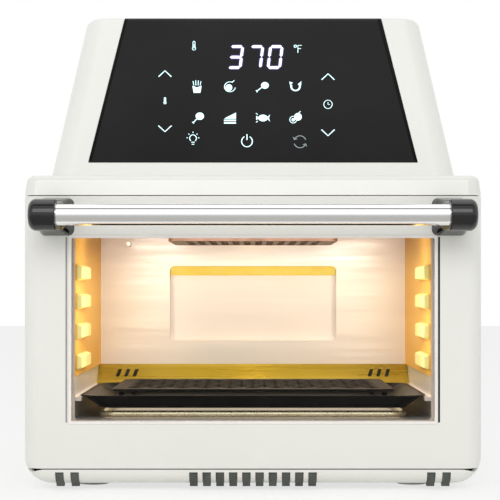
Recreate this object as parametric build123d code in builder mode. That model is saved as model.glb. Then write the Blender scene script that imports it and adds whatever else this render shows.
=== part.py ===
from build123d import *
from math import asin, copysign, cos, degrees, radians, sin, tan
import os

# Air fryer oven. Millimetres, +Z up, front towards -Y.
# The origin is on the table, under the centre of the lower body.

# Lower body
body_width = 368.0
body_depth = 330.0
foot_height = 5.0
base_band = 11.8
door_seam = 0.8
parting_height = 236.5
corner_radius = 22.0
perimeter_radius = 12.0
wall = 2.5

# Head
flange_height = 16.0
flange_taper = 8.0
flange_shoulder = 6.0
head_height = 160.5
head_side_margin = 19.5
head_sink = 4.0
head_lean = 36.0
head_side_lean = 7.7
head_setback = 10.7
head_rear_setback = 8.0
head_base_corner = 20.0
head_top_edge = 9.0
head_wall = 3.0

# Touch panel
panel_side_margin = 31.0
panel_side_run = 22.5
panel_rise = 11.5
panel_recess = 1.4
panel_proud = 0.3
panel_gap = 0.25

# Door and window
door_thickness = 28.0
window_margin = 36.0
window_bottom = 53.0
window_top = 204.5
skin = 3.0
glass_thickness = 4.0
inner_glass_thickness = 3.0
glass_lap = 2.0
liner_thickness = 2.0
trim_width = 2.4
seal_gap = 3.0
housing_seam = 1.0

# Hinge
hinge_inset = 5.0
hinge_rise = 4.4
hinge_margin = 26.0
hinge_pin_radius = 1.5
hinge_ear_radius = 3.2
hinge_ear_width = 4.0
hinge_running = 0.05

# Handle
handle_drop = 17.5
handle_reach = 37.0
bar_diameter = 16.6
bar_bore = 13.6
bar_margin = 31.0
cap_diameter = 25.0
cap_length = 21.6
bar_insert = 10.0
arm_margin = 13.0
arm_foot_width = 28.0
arm_foot_height = 30.0

# Cavity
sheet = 1.2
frame_sheet = 2.0
cavity_margin = 38.0
cavity_rear_margin = 60.0
cavity_floor = 54.0
cavity_ceiling = 222.0
wall_lower_edge = 89.5
pan_step = 2.0
opening_top = 210.0
ledge_levels = (101.0, 126.0, 151.0, 175.0)
ledge_height = 9.0
ledge_depth = 5.0
ledge_length = 84.0
recess_width = 160.0
recess_bottom = 112.0
recess_top = 183.5
recess_depth = 22.0
baffle_run = 26.0

# Fan and upper element
fan_setback = 121.0
guard_size = 144.0
guard_drop = 20.0
shroud_radius = 76.0
shroud_height = 29.0
shroud_edge = 8.0
throat_radius = 66.0
ring_radius = 52.0
element_radius = 3.5
blade_radius = 44.0
blade_height = 14.0
blade_count = 8
shaft_radius = 3.0
cooling_radius = 44.0
motor_radius = 31.0
motor_height = 40.0

# Tray and rack
tray_side_play = 2.5
tray_front_play = 4.0
tray_rear_play = 7.0
tray_rim_height = 73.6
tray_floor_height = 63.0
tray_floor_inset = 16.0
tray_sheet = 1.2
rack_side_inset = 25.5
rack_end_inset = 18.0
rack_wire = 2.4
rack_pitch = 20.0

# Common fits
gap = 0.3
seat = 0.1

front = -body_depth / 2
rear = body_depth / 2
base_top = foot_height + base_band
door_bottom = base_top + door_seam
door_top = parting_height - 0.6
door_back = front + door_thickness
housing_front = door_back + housing_seam
frame_face = door_back + seal_gap
cavity_front = frame_face + frame_sheet
cavity_back = rear - cavity_rear_margin
cavity_half = body_width / 2 - cavity_margin
cavity_width = 2 * cavity_half
cavity_depth = cavity_back - cavity_front
flange_top = parting_height + flange_height
head_front = front + head_setback
head_rear = rear - head_rear_setback
hinge_y = front + hinge_inset
hinge_z = door_bottom + hinge_rise
bar_y = front - handle_reach
bar_half = body_width / 2 - bar_margin
handle_height = parting_height - handle_drop
arm_foot_outer = body_width / 2 - arm_margin
arm_foot_inner = arm_foot_outer - arm_foot_width
window_width = body_width - 2 * window_margin
hinge_spacing = body_width - 2 * hinge_margin
head_base_width = body_width - 2 * head_side_margin
panel_bottom_width = head_base_width - 2 * panel_side_margin
panel_top_width = panel_bottom_width - 2 * panel_side_run
fan_y = cavity_back - fan_setback
tray_rim_width = cavity_width - 2 * tray_side_play
tray_rim_depth = cavity_depth - baffle_run - tray_front_play - tray_rear_play
tray_floor_width = tray_rim_width - 2 * tray_floor_inset
rack_width = tray_rim_width - 2 * rack_side_inset
rack_depth = tray_rim_depth - 2 * rack_end_inset
lean_run = tan(radians(head_lean))

os.makedirs("parts", exist_ok=True)


def save(piece, name):
    """Label one finished sub-part and write its file."""
    piece.part.label = name
    export_step(piece.part, "parts/" + name + ".step")


def body_form(inset):
    """Outer form of the lower body, moved inwards by inset."""
    bottom = foot_height + inset
    with BuildPart(mode=Mode.PRIVATE) as form:
        with BuildSketch(Plane.XZ.offset(inset - rear)) as outline:
            with Locations((0, (bottom + parting_height) / 2)):
                Rectangle(body_width - 2 * inset, parting_height - bottom)
            fillet(outline.vertices().group_by(Axis.Y)[0], corner_radius - inset)
        extrude(amount=body_depth - 2 * inset)
        for end in (0, -1):
            rim = form.faces().sort_by(Axis.Y)[end].edges().sort_by(Axis.Z)[:-1]
            fillet(rim, perimeter_radius - inset)
    return form.part


def slab(y_from, y_to, z_from, z_to):
    """Block across the whole width, for cutting the body form into pieces."""
    return block((-body_width, body_width), (y_from, y_to), (z_from, z_to))


def block(x_range, y_range, z_range):
    """Plain block between two corners."""
    size = [high - low for low, high in (x_range, y_range, z_range)]
    centre = [(high + low) / 2 for low, high in (x_range, y_range, z_range)]
    return Pos(*centre) * Box(*size, mode=Mode.PRIVATE)


def head_form(inset):
    """Outer form of the head, moved inwards by inset. Its underside stays open to cut through."""
    drop = 1.0 if inset > 0 else 0.0
    front_inset = inset / cos(radians(head_lean))
    rise = head_height - flange_height - inset + head_sink
    base_z = flange_top - head_sink
    side_run = tan(radians(head_side_lean))
    base_half = head_base_width / 2 + head_sink * side_run - inset
    top_half = base_half - rise * side_run
    base_front = head_front - head_sink * lean_run + front_inset
    top_front = base_front + rise * lean_run
    back = head_rear - inset
    with BuildPart(mode=Mode.PRIVATE) as form:
        with BuildSketch(Plane.XY.offset(parting_height - drop)):
            RectangleRounded(
                body_width - 2 * inset, body_depth - 2 * inset, perimeter_radius - inset
            )
        extrude(amount=flange_height + drop - inset, taper=flange_taper)
        if inset == 0:
            rim = form.edges().group_by(Axis.Z)[-1]
            fillet(rim, flange_shoulder)
        with BuildSketch(Plane.XY.offset(base_z)):
            with Locations((0, (base_front + back) / 2)):
                RectangleRounded(2 * base_half, back - base_front, head_base_corner - inset)
        with BuildSketch(Plane.XY.offset(base_z + rise)):
            with Locations((0, (top_front + back) / 2)):
                RectangleRounded(2 * top_half, back - top_front, head_base_corner - inset)
        loft()
        fillet(form.faces().sort_by(Axis.Z)[-1].edges(), head_top_edge - inset)
    return form.part


# Plane of the leaning front: local x runs right, local y runs up the slope
panel_plane = Plane(
    origin=(0, head_front + panel_rise * lean_run, flange_top + panel_rise),
    x_dir=(1, 0, 0),
    z_dir=(0, -cos(radians(head_lean)), sin(radians(head_lean))),
)
panel_length = (head_height - flange_height - panel_rise) / cos(radians(head_lean))
display_width = panel_top_width - 76.0
display_height = 106.0
display_rise = 0.62 * panel_length


def panel_prism(growth):
    """Block through the leaning front, as wide as the touch panel grown by growth."""
    with BuildPart(mode=Mode.PRIVATE) as prism:
        with BuildSketch(panel_plane.offset(-8)):
            with BuildLine():
                low = panel_bottom_width / 2 + growth
                high = panel_top_width / 2 + growth
                Polyline(
                    (-low, -growth), (low, -growth),
                    (high, panel_length + growth), (-high, panel_length + growth),
                    (-low, -growth),
                )
            make_face()
        extrude(amount=20)
    return prism.part


def hinge_rod(radius, length, x_centre):
    """Rod along the hinge axis."""
    return Pos(x_centre, hinge_y, hinge_z) * Rot(0, 90, 0) * Cylinder(radius, length, mode=Mode.PRIVATE)


hinge_sides = (-hinge_spacing / 2, hinge_spacing / 2)
outer = body_form(0)
inner = body_form(wall)

# Base pan: floor, curved front band with the vent slots, foot holes
slot_width = 6.8
slot_pitch = 10.6
slot_top = foot_height + 9.6
slot_reach = 15.0
middle_slots = [(i - 4.5) * slot_pitch for i in range(10)]
corner_margins = (41.2, 29.0)
corner_slots = [side * (body_width / 2 - margin) for side in (-1, 1) for margin in corner_margins]
vent_slots = middle_slots + corner_slots
foot_x = body_width / 2 - 52.0
foot_spots = [(x, y) for x in (-foot_x, foot_x) for y in (front + 53.0, rear - 47.0)]
foot_radius = 12.0
stem_radius = 3.0

with BuildPart() as base_pan:
    add(outer & slab(front - 1, rear + 1, foot_height - 1, base_top))
    add(inner & slab(front - 1, rear + 1, 0, base_top + 1), mode=Mode.SUBTRACT)
    # Trough that the door's lower edge turns in
    swing = ((hinge_inset ** 2 + hinge_rise ** 2) ** 0.5) + 0.5
    with Locations((0, hinge_y, hinge_z)):
        Cylinder(swing, body_width + 2, rotation=(0, 90, 0), mode=Mode.SUBTRACT)
    for x in vent_slots:
        with Locations((x, front + slot_reach / 2 - 1, (slot_top + foot_height) / 2 - 1)):
            Box(slot_width, slot_reach + 2, slot_top - foot_height + 2, mode=Mode.SUBTRACT)
    with BuildSketch(Plane.XY.offset(foot_height - 1)):
        with Locations((0, 20)):
            with GridLocations(16, 44, 12, 3):
                SlotOverall(30, 4, rotation=90)
    extrude(amount=wall + 2, mode=Mode.SUBTRACT)
    with BuildSketch(Plane.XY.offset(foot_height - 1)):
        with Locations(*foot_spots):
            Circle(stem_radius + seat)
    extrude(amount=wall + 2, mode=Mode.SUBTRACT)
save(base_pan, "base_pan")

# Dark comb behind the vent slots, its teeth standing through them
tooth_width = slot_width - 0.6
tooth_back = front + slot_reach - 1.0
comb_back = tooth_back + 2.5
comb_floor = foot_height + wall + seat
tooth_low = foot_height - 2.4
middle_strip = middle_slots[-1] + 8.3
corner_strip_inner = body_width / 2 - 47.0
corner_strip_outer = body_width / 2 - 23.0


def comb(spots, strip_from, strip_to):
    """One strip with a tooth for each slot."""
    with BuildPart(mode=Mode.PRIVATE) as piece:
        with BuildSketch(Plane.YZ) as profile:
            with BuildLine():
                Polyline(
                    (front + 2.6, slot_top - 0.3), (front + 2.6, 12.0), (front + 5.6, 6.4),
                    (front + 8.6, tooth_low), (tooth_back, tooth_low),
                    (tooth_back, slot_top - 0.3), (front + 2.6, slot_top - 0.3),
                )
            make_face()
        tooth = extrude(amount=tooth_width / 2, both=True, mode=Mode.PRIVATE)
        for x in spots:
            add(Pos(x, 0, 0) * tooth)
        add(block((strip_from, strip_to), (tooth_back, comb_back), (comb_floor, slot_top - 0.3)))
    return piece.part


with BuildPart() as vent_grille:
    add(comb(middle_slots, -middle_strip, middle_strip))
    add(comb(corner_slots[:2], -corner_strip_outer, -corner_strip_inner))
    add(comb(corner_slots[2:], corner_strip_inner, corner_strip_outer))
save(vent_grille, "vent_grille")

with BuildPart() as feet:
    for x, y in foot_spots:
        with BuildSketch(Plane.XY):
            with Locations((x, y)):
                Circle(foot_radius)
        extrude(amount=foot_height, taper=-6)
        with BuildSketch(Plane.XY.offset(foot_height)):
            with Locations((x, y)):
                Circle(stem_radius)
        extrude(amount=wall)
save(feet, "feet")

# Lower housing: sides and back in one wrap
gland_x = body_width / 2 - 64.0
gland_z = 44.0
gland_hole = 8.0
rear_vent_rows = 7
rear_vent_z = parting_height - 86.5

with BuildPart() as lower_housing:
    add(outer & slab(housing_front, rear + 1, base_top, parting_height))
    add(inner & slab(front, rear + 1, 0, parting_height + 1), mode=Mode.SUBTRACT)
    with BuildSketch(Plane.XZ.offset(-rear - 1)):
        with Locations((0, rear_vent_z)):
            with GridLocations(62, 9, 3, rear_vent_rows):
                SlotOverall(50, 3.5)
        with Locations((gland_x, gland_z)):
            Circle(gland_hole)
    extrude(amount=wall + 4, mode=Mode.SUBTRACT)
save(lower_housing, "lower_housing")

with BuildPart() as cord_bush:
    with BuildSketch(Plane.XZ.offset(-rear)):
        with Locations((gland_x, gland_z)):
            Circle(gland_hole + 3)
    extrude(amount=-3)
    with BuildSketch(Plane.XZ.offset(-rear)):
        with Locations((gland_x, gland_z)):
            Circle(gland_hole - seat)
    extrude(amount=wall + 3)
    with BuildSketch(Plane.XZ.offset(-rear - 4)):
        with Locations((gland_x, gland_z)):
            Circle(3.6)
    extrude(amount=wall + 10, mode=Mode.SUBTRACT)
save(cord_bush, "cord_bush")

# Head shell with its flange, panel recess, display opening and rear opening
rear_cover_width = head_base_width - 99.0
rear_cover_low = flange_top + 15.5
rear_cover_high = rear_cover_low + 100.0
rear_lap = 6.0
cover_sheet = 2.0
cover_mid = (rear_cover_low + rear_cover_high) / 2
louvre_pitch = (rear_cover_width - 26.0) / 3
louvre_length = louvre_pitch - 10.0
cover_height = rear_cover_high - rear_cover_low

with BuildPart() as head_shell:
    add(head_form(0))
    add(head_form(head_wall), mode=Mode.SUBTRACT)
    add(panel_prism(panel_gap) - head_form(panel_recess), mode=Mode.SUBTRACT)
    with BuildSketch(panel_plane.offset(-20)):
        with Locations((0, display_rise)):
            RectangleRounded(display_width + 4, display_height + 4, 6)
    extrude(amount=30, mode=Mode.SUBTRACT)
    with BuildSketch(Plane.XZ.offset(-head_rear - 5)):
        with Locations((0, cover_mid)):
            RectangleRounded(rear_cover_width - 2 * rear_lap, cover_height - 2 * rear_lap, 5)
    extrude(amount=30, mode=Mode.SUBTRACT)
save(head_shell, "head_shell")

with BuildPart() as touch_panel:
    add(head_form(-panel_proud))
    add(head_form(panel_recess - seat), mode=Mode.SUBTRACT)
    add(panel_prism(0), mode=Mode.INTERSECT)
save(touch_panel, "touch_panel")

with BuildPart() as rear_cover:
    with BuildSketch(Plane.XZ.offset(-head_rear)):
        with Locations((0, cover_mid)):
            RectangleRounded(rear_cover_width, cover_height, 8)
    extrude(amount=-cover_sheet)
    with BuildSketch(Plane.XZ.offset(-head_rear)):
        with Locations((0, cover_mid)):
            with GridLocations(louvre_pitch, 8, 3, 9):
                SlotOverall(louvre_length, 4)
    extrude(amount=-cover_sheet, mode=Mode.SUBTRACT)
    # Hood over each louvre
    with BuildSketch(Plane.XZ.offset(-head_rear - cover_sheet)):
        with Locations((0, cover_mid + 2.9)):
            with GridLocations(louvre_pitch, 8, 3, 9):
                RectangleRounded(louvre_length, 1.6, 0.7)
    extrude(amount=-2)
save(rear_cover, "rear_cover")

cover_screw_x = rear_cover_width / 2 - 4.0
cover_screw_heights = (rear_cover_low + 4, rear_cover_high - 4)
screw_spots = [(side * cover_screw_x, z) for side in (-1, 1) for z in cover_screw_heights]
with BuildPart() as rear_screws:
    for x, z in screw_spots:
        with BuildSketch(Plane.XZ.offset(-head_rear - cover_sheet)):
            with Locations((x, z)):
                Circle(3)
        extrude(amount=-1.8)
save(rear_screws, "rear_screws")

# Door frame: moulded skin with the window collar and hinge bosses
window_mid = (window_bottom + window_top) / 2
window_height = window_top - window_bottom
window_half = window_width / 2
hollow_top = door_top - 3.9
skin_back = front + skin
liner_front = door_back - liner_thickness
pocket_half = window_half + glass_lap + gap
pocket_height = window_height + 2 * (glass_lap + gap)
collar_wall = 2.5
arm_mid = (arm_foot_inner + arm_foot_outer) / 2
handle_screw_spots = [(side * arm_mid, handle_height + dz) for side in (-1, 1) for dz in (-7, 7)]
screw_radius = 2.5
boss_half = 8.0
slot_half = hinge_ear_width / 2 + 0.6
boss_front = skin_back - 0.5
boss_back = hinge_y + 9.0
boss_top = hinge_z + 5.0

with BuildPart() as door_frame:
    add(outer & slab(front - 1, door_back, door_bottom, door_top))
    add(body_form(skin) & slab(skin_back, door_back + 1, door_bottom + skin, hollow_top), mode=Mode.SUBTRACT)
    # Collar that holds both glasses
    with BuildSketch(Plane.XZ.offset(-liner_front)):
        with Locations((0, window_mid)):
            Rectangle(2 * (pocket_half + collar_wall), pocket_height + 2 * collar_wall)
    extrude(amount=liner_front - skin_back + 0.5)
    with BuildSketch(Plane.XZ.offset(-door_back - 1)):
        with Locations((0, window_mid)):
            Rectangle(2 * pocket_half, pocket_height)
    extrude(amount=door_back + 1 - skin_back, mode=Mode.SUBTRACT)
    with BuildSketch(Plane.XZ.offset(-door_back - 1)):
        with Locations((0, window_mid)):
            RectangleRounded(window_width, window_height, 2)
    extrude(amount=door_thickness + 4, mode=Mode.SUBTRACT)
    # Sloping top that clears the head as the door turns
    with BuildSketch(Plane.YZ):
        with BuildLine():
            Polyline(
                (front - 1, door_top), (door_back + 1, door_top - 1.7),
                (door_back + 1, door_top + 2), (front - 1, door_top + 2), (front - 1, door_top),
            )
        make_face()
    extrude(amount=body_width / 2 + 1, both=True, mode=Mode.SUBTRACT)
    for x in hinge_sides:
        add(block((x - boss_half, x + boss_half), (boss_front, boss_back), (door_bottom, boss_top)))
    for x in hinge_sides:
        add(
            block(
                (x - slot_half, x + slot_half),
                (hinge_y - hinge_ear_radius - 0.3, door_back + 1),
                (door_bottom - 1, hinge_z + hinge_ear_radius + 0.6),
            ),
            mode=Mode.SUBTRACT,
        )
        add(hinge_rod(hinge_pin_radius + 0.03, 2 * boss_half - 3, x), mode=Mode.SUBTRACT)
    with BuildSketch(Plane.XZ.offset(-front - skin - 1)):
        with Locations(*handle_screw_spots):
            Circle(screw_radius + seat)
    extrude(amount=skin + 4, mode=Mode.SUBTRACT)
save(door_frame, "door_frame")

with BuildPart() as hinge_pins:
    for x in hinge_sides:
        add(hinge_rod(hinge_pin_radius, 2 * boss_half - 4, x))
save(hinge_pins, "hinge_pins")

bracket_leg = 8.0
bracket_foot = 6.0
bracket_back = frame_face + bracket_leg
with BuildPart() as hinge_brackets:
    for x in hinge_sides:
        base_z = foot_height + wall
        half = hinge_ear_width / 2
        add(hinge_rod(hinge_ear_radius, hinge_ear_width, x))
        add(block((x - half, x + half), (hinge_y, bracket_back),
                  (hinge_z - hinge_ear_radius, hinge_z + hinge_ear_radius)))
        add(block((x - half, x + half), (frame_face, bracket_back), (base_z, hinge_z)))
        foot_ends = sorted((x + copysign(half, x), x - copysign(half + bracket_foot, x)))
        add(block(foot_ends, (frame_face, bracket_back + 8), (base_z, base_z + 1.6)))
        add(hinge_rod(hinge_pin_radius + hinge_running, hinge_ear_width + 2, x), mode=Mode.SUBTRACT)
save(hinge_brackets, "hinge_brackets")

with BuildPart() as door_liner:
    add(body_form(skin + gap) & slab(liner_front, door_back, door_bottom + skin + gap, hollow_top - gap))
    with BuildSketch(Plane.XZ.offset(-door_back - 1)):
        with Locations((0, window_mid)):
            RectangleRounded(window_width + 2, window_height + 2, 3)
    extrude(amount=liner_thickness + 2, mode=Mode.SUBTRACT)
    for x in hinge_sides:
        add(
            block((x - slot_half, x + slot_half), (liner_front - 1, door_back + 1),
                  (door_bottom - 1, hinge_z + hinge_ear_radius + 0.6)),
            mode=Mode.SUBTRACT,
        )
save(door_liner, "door_liner")

# Window: seal, outer glass, inner glass and the slim trim
glass_width = window_width + 2 * glass_lap
glass_height = window_height + 2 * glass_lap
seal_sheet = 0.8

with BuildPart() as glass_seal:
    with BuildSketch(Plane.XZ.offset(-skin_back)):
        with Locations((0, window_mid)):
            Rectangle(glass_width, glass_height)
            Rectangle(window_width, window_height, mode=Mode.SUBTRACT)
    extrude(amount=-seal_sheet)
save(glass_seal, "glass_seal")

with BuildPart() as outer_glass:
    with BuildSketch(Plane.XZ.offset(-skin_back - seal_sheet)):
        with Locations((0, window_mid)):
            RectangleRounded(glass_width, glass_height, 2)
    extrude(amount=-glass_thickness)
save(outer_glass, "outer_glass")

with BuildPart() as inner_glass:
    with BuildSketch(Plane.XZ.offset(-liner_front)):
        with Locations((0, window_mid)):
            RectangleRounded(glass_width, glass_height, 2)
    extrude(amount=inner_glass_thickness)
save(inner_glass, "inner_glass")

with BuildPart() as window_trim:
    with BuildSketch(Plane.XZ.offset(-skin_back - seal_sheet)):
        with Locations((0, window_mid)):
            RectangleRounded(window_width - 0.3, window_height - 0.3, 1.9)
            RectangleRounded(
                window_width - 2 * trim_width, window_height - 2 * trim_width, 1, mode=Mode.SUBTRACT
            )
    extrude(amount=skin + seal_sheet + 0.2)
save(window_trim, "window_trim")

# Handle: tube, two end caps with their arms, and screws from inside the door
with BuildPart() as handle_bar:
    with BuildSketch(Plane.YZ.offset(-bar_half - bar_insert)):
        with Locations((bar_y, handle_height)):
            Circle(bar_diameter / 2)
            Circle(bar_bore / 2, mode=Mode.SUBTRACT)
    extrude(amount=2 * (bar_half + bar_insert))
save(handle_bar, "handle_bar")


def handle_cap(side):
    """End cap: a short round cap on the bar and the arm that reaches the door."""
    radius = cap_diameter / 2
    with BuildPart(mode=Mode.PRIVATE) as cap:
        with BuildSketch(Plane.XY):
            with BuildLine():
                Polyline((0, 0), (radius - 0.8, 0), (radius, 0.8), (radius, cap_length - 6))
                RadiusArc((radius, cap_length - 6), (radius - 6, cap_length), -6)
                Polyline((radius - 6, cap_length), (0, cap_length), (0, 0))
            make_face()
        revolve(axis=Axis.Y)
    round_cap = Pos(0, bar_y, handle_height) * Rot(0, 0, -90) * cap.part
    round_cap = Pos(bar_half, 0, 0) * round_cap
    with BuildPart(mode=Mode.PRIVATE) as arm:
        with BuildSketch(Plane.XZ.offset(-front)):
            with Locations((arm_mid, handle_height)):
                RectangleRounded(arm_foot_outer - arm_foot_inner, arm_foot_height, 5)
        with BuildSketch(Plane.XZ.offset(-front + handle_reach * 0.45)):
            with Locations((arm_mid + 2.5, handle_height)):
                RectangleRounded(23, 23, 5)
        with BuildSketch(Plane.XZ.offset(-front + handle_reach - 3)):
            with Locations((arm_mid + 5.2, handle_height)):
                RectangleRounded(20, 21, 5)
        loft(ruled=True)
    with BuildPart(mode=Mode.PRIVATE) as piece:
        add(round_cap)
        add(arm.part)
        with BuildSketch(Plane.YZ.offset(bar_half - 20)):
            with Locations((bar_y, handle_height)):
                Circle(bar_diameter / 2 + seat)
        extrude(amount=20 + bar_insert + gap, mode=Mode.SUBTRACT)
        with BuildSketch(Plane.XZ.offset(-front - 1)):
            with Locations(*[(arm_mid, handle_height + dz) for dz in (-7, 7)]):
                Circle(screw_radius + seat)
        extrude(amount=12, mode=Mode.SUBTRACT)
    if side < 0:
        return piece.part.mirror(Plane.YZ)
    return piece.part


with BuildPart() as handle_cap_left:
    add(handle_cap(-1))
save(handle_cap_left, "handle_cap_left")

with BuildPart() as handle_cap_right:
    add(handle_cap(1))
save(handle_cap_right, "handle_cap_right")

with BuildPart() as handle_screws:
    for x, z in handle_screw_spots:
        with BuildSketch(Plane.XZ.offset(-skin_back)):
            with Locations((x, z)):
                Circle(4.4)
        extrude(amount=-2.5)
        with BuildSketch(Plane.XZ.offset(-skin_back)):
            with Locations((x, z)):
                Circle(screw_radius)
        extrude(amount=skin + 9)
save(handle_screws, "handle_screws")

# Front frame of the cavity
notch_half = hinge_ear_width / 2 + 0.5
switch_x = body_width / 2 - 19.0
switch_z = parting_height - 12.5

with BuildPart() as front_frame:
    add(body_form(wall + gap) & slab(frame_face, cavity_front, base_top + 1, parting_height - 1))
    with BuildSketch(Plane.XZ.offset(-cavity_front - 1)):
        with Locations((0, (cavity_floor + opening_top) / 2)):
            RectangleRounded(cavity_width, opening_top - cavity_floor, 3)
        with Locations((switch_x, switch_z)):
            Circle(3)
    extrude(amount=frame_sheet + 2, mode=Mode.SUBTRACT)
    for x in hinge_sides:
        add(
            block((x - notch_half, x + notch_half), (frame_face - 1, cavity_front + 1),
                  (0, hinge_z + hinge_ear_radius + gap)),
            mode=Mode.SUBTRACT,
        )
save(front_frame, "front_frame")

with BuildPart() as door_seal:
    with BuildSketch(Plane.XZ.offset(-frame_face)):
        with Locations((0, (cavity_floor + opening_top) / 2)):
            RectangleRounded(cavity_width + 18, opening_top - cavity_floor + 18, 10)
            RectangleRounded(cavity_width + 8, opening_top - cavity_floor + 8, 6, mode=Mode.SUBTRACT)
    extrude(amount=seal_gap - 0.4)
save(door_seal, "door_seal")

magnet_x = body_width / 2 - 16.0
magnet_z = parting_height - 46.5
magnet_spots = [(-magnet_x, magnet_z), (magnet_x, magnet_z)]
with BuildPart() as catch_magnets:
    with BuildSketch(Plane.XZ.offset(-frame_face)):
        with Locations(*magnet_spots):
            RectangleRounded(12, 26, 2)
    extrude(amount=1.6)
save(catch_magnets, "catch_magnets")

with BuildPart() as catch_plates:
    with BuildSketch(Plane.XZ.offset(-door_back)):
        with Locations(*magnet_spots):
            RectangleRounded(12, 26, 2)
    extrude(amount=-1.0)
save(catch_plates, "catch_plates")

with BuildPart() as door_switch:
    add(block((switch_x - 6, switch_x + 6), (cavity_front, cavity_front + 22),
              (switch_z - 9, switch_z + 9)))
    with BuildSketch(Plane.XZ.offset(-cavity_front - 16)):
        with Locations((switch_x, switch_z)):
            Circle(2.55)
    extrude(amount=20, mode=Mode.SUBTRACT)
save(door_switch, "door_switch")

with BuildPart() as switch_plunger:
    with BuildSketch(Plane.XZ.offset(-door_back - 0.4)):
        with Locations((switch_x, switch_z)):
            Circle(2.5)
    extrude(amount=-(seal_gap + frame_sheet + 11))
save(switch_plunger, "switch_plunger")

# Cavity walls with four stamped ledges each
ledge_front = cavity_front + 4.0
ledge_mid = ledge_front + ledge_length / 2
wall_back = cavity_back + sheet


def cavity_wall(side):
    """Upper side wall, its ledges pressed into the cavity."""
    with BuildPart(mode=Mode.PRIVATE) as panel:
        add(block((cavity_half, cavity_half + sheet), (cavity_front, wall_back),
                  (wall_lower_edge, cavity_ceiling)))
        for level in ledge_levels:
            with BuildSketch(Plane.YZ.offset(cavity_half)):
                with Locations((ledge_mid, level)):
                    RectangleRounded(ledge_length, ledge_height + 5, 3)
            extrude(amount=-ledge_depth, taper=24)
        for level in ledge_levels:
            with BuildSketch(Plane.YZ.offset(cavity_half + sheet)):
                with Locations((ledge_mid, level)):
                    RectangleRounded(ledge_length - 2.2, ledge_height + 3, 2)
            extrude(amount=-ledge_depth, taper=24, mode=Mode.SUBTRACT)
    if side < 0:
        return panel.part.mirror(Plane.YZ)
    return panel.part


with BuildPart() as cavity_wall_left:
    add(cavity_wall(-1))
save(cavity_wall_left, "cavity_wall_left")

with BuildPart() as cavity_wall_right:
    add(cavity_wall(1))
save(cavity_wall_right, "cavity_wall_right")

# Floor pan with turned-up sides and the runners that the tray's rim slides on
pan_half = cavity_half + pan_step
rail_top = tray_rim_height - 1.0 - gap
rail_inner = tray_rim_width / 2 - 2.2
rail_back = cavity_back - baffle_run - 2.0

with BuildPart() as cavity_floor_pan:
    add(block((-pan_half - sheet, pan_half + sheet), (cavity_front, wall_back),
              (cavity_floor - sheet, cavity_floor)))
    for side in (-1, 1):
        edge = sorted((side * pan_half, side * (pan_half + sheet)))
        add(block(edge, (cavity_front, wall_back), (cavity_floor - sheet, wall_lower_edge - 0.2)))
        rail = sorted((side * rail_inner, side * (pan_half + 0.5)))
        add(block(rail, (cavity_front + tray_front_play, rail_back), (rail_top - 3, rail_top)))
save(cavity_floor_pan, "cavity_floor_pan")

# Back wall with its pressed recess
back_low = wall_lower_edge + 0.2
recess_mid = (recess_bottom + recess_top) / 2
recess_height = recess_top - recess_bottom

with BuildPart() as cavity_back_wall:
    add(block((-cavity_half, cavity_half), (cavity_back, wall_back), (back_low, cavity_ceiling)))
    with BuildSketch(Plane.XZ.offset(-cavity_back)):
        with Locations((0, recess_mid)):
            RectangleRounded(recess_width + 2 * sheet, recess_height + 2 * sheet, 6)
    extrude(amount=-recess_depth - sheet)
    with BuildSketch(Plane.XZ.offset(-cavity_back + 1)):
        with Locations((0, recess_mid)):
            RectangleRounded(recess_width, recess_height, 5)
    extrude(amount=-recess_depth - 1, mode=Mode.SUBTRACT)
save(cavity_back_wall, "cavity_back_wall")

# Sloping baffle along the foot of the back wall
slot_margins = (18.0, 26.0, 34.0)
baffle_slots = [side * (cavity_half - margin) for side in (-1, 1) for margin in slot_margins]

with BuildPart() as rear_baffle:
    with BuildSketch(Plane.YZ):
        with BuildLine():
            Polyline(
                (cavity_back + sheet, wall_lower_edge), (cavity_back - 2, wall_lower_edge),
                (cavity_back - baffle_run, cavity_floor + 14), (cavity_back - baffle_run, cavity_floor),
                (cavity_back - baffle_run + sheet, cavity_floor),
                (cavity_back - baffle_run + sheet, cavity_floor + 13.6),
                (cavity_back - 1.6, wall_lower_edge - sheet), (cavity_back + sheet, wall_lower_edge - sheet),
                (cavity_back + sheet, wall_lower_edge),
            )
        make_face()
    extrude(amount=pan_half - 0.3, both=True)
    for x in baffle_slots:
        with Locations(Location((x, cavity_back - 10, wall_lower_edge - 8), (0, 20, 0))):
            Box(3.2, 9, 30, mode=Mode.SUBTRACT)
save(rear_baffle, "rear_baffle")

# Lower element: one bent tube on the cavity floor
lower_radius = 3.0
lower_z = cavity_floor + lower_radius + 0.5
lower_half = cavity_half - 20.0
lower_end = lower_half - 36.0
lower_front = cavity_front + 20.0
lower_rear = cavity_back - 35.0

with BuildPart() as lower_element:
    with BuildLine() as lower_path:
        FilletPolyline(
            (-lower_end, lower_rear, lower_z), (-lower_half, lower_rear, lower_z),
            (-lower_half, lower_front, lower_z), (lower_half, lower_front, lower_z),
            (lower_half, lower_rear, lower_z), (lower_end, lower_rear, lower_z),
            radius=12,
        )
    with BuildSketch(Plane(origin=lower_path.line @ 0, z_dir=lower_path.line % 0)):
        Circle(lower_radius)
    sweep(path=lower_path.line)
save(lower_element, "lower_element")

# Ceiling, shroud, element and guard
lamp_y = cavity_back - 21.0
lamp_hole = 12.0

with BuildPart() as cavity_ceiling_plate:
    add(block((-cavity_half - sheet, cavity_half + sheet), (cavity_front, wall_back),
              (cavity_ceiling, cavity_ceiling + sheet)))
    with BuildSketch(Plane.XY.offset(cavity_ceiling - 1)):
        with Locations((0, fan_y)):
            Circle(throat_radius)
        with Locations((0, lamp_y)):
            Circle(lamp_hole)
    extrude(amount=sheet + 2, mode=Mode.SUBTRACT)
save(cavity_ceiling_plate, "cavity_ceiling")

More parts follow.
